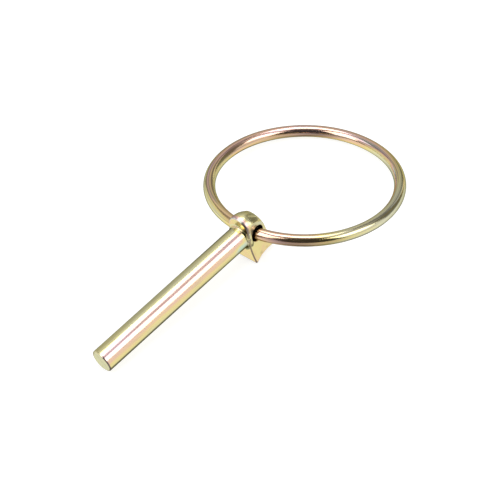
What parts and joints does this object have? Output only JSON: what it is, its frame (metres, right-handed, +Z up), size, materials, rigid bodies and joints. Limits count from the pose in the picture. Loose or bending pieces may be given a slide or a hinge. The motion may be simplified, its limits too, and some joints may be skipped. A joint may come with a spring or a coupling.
{
  "type": "linch pin with pull ring",
  "caption": "Yellow-passivated steel linch pin: round shank, flared lug head with a cross hole, and a plain wire pull ring that swings in the hole; lies at rest.",
  "frame": {"origin": "middle of the whole part's footprint, on the plane it lies on", "axes": "+Z up off the surface; the shank runs along X with its tip towards -X and the head and ring towards +X; +Y completes the right-handed frame and lies along the cross hole"},
  "size_m": [0.1014, 0.0502, 0.0128],
  "materials": {
    "pin": "yellow chromate over zinc on forged steel, glossy, faintly iridescent",
    "ring": "yellow chromate over zinc on drawn wire, glossy, with a pink and gold sheen"
  },
  "bodies": {
    "pin": {"pin": "pin"},
    "ring": {"ring": "ring"}
  },
  "joints": [
    {"name": "ring_swing", "type": "hinge", "parent": "pin", "child": "ring", "pos_m": [0.00244, -0.00183, 0.00707], "axis": [0, -1, 0], "range_deg": [-163, 185]}
  ]
}
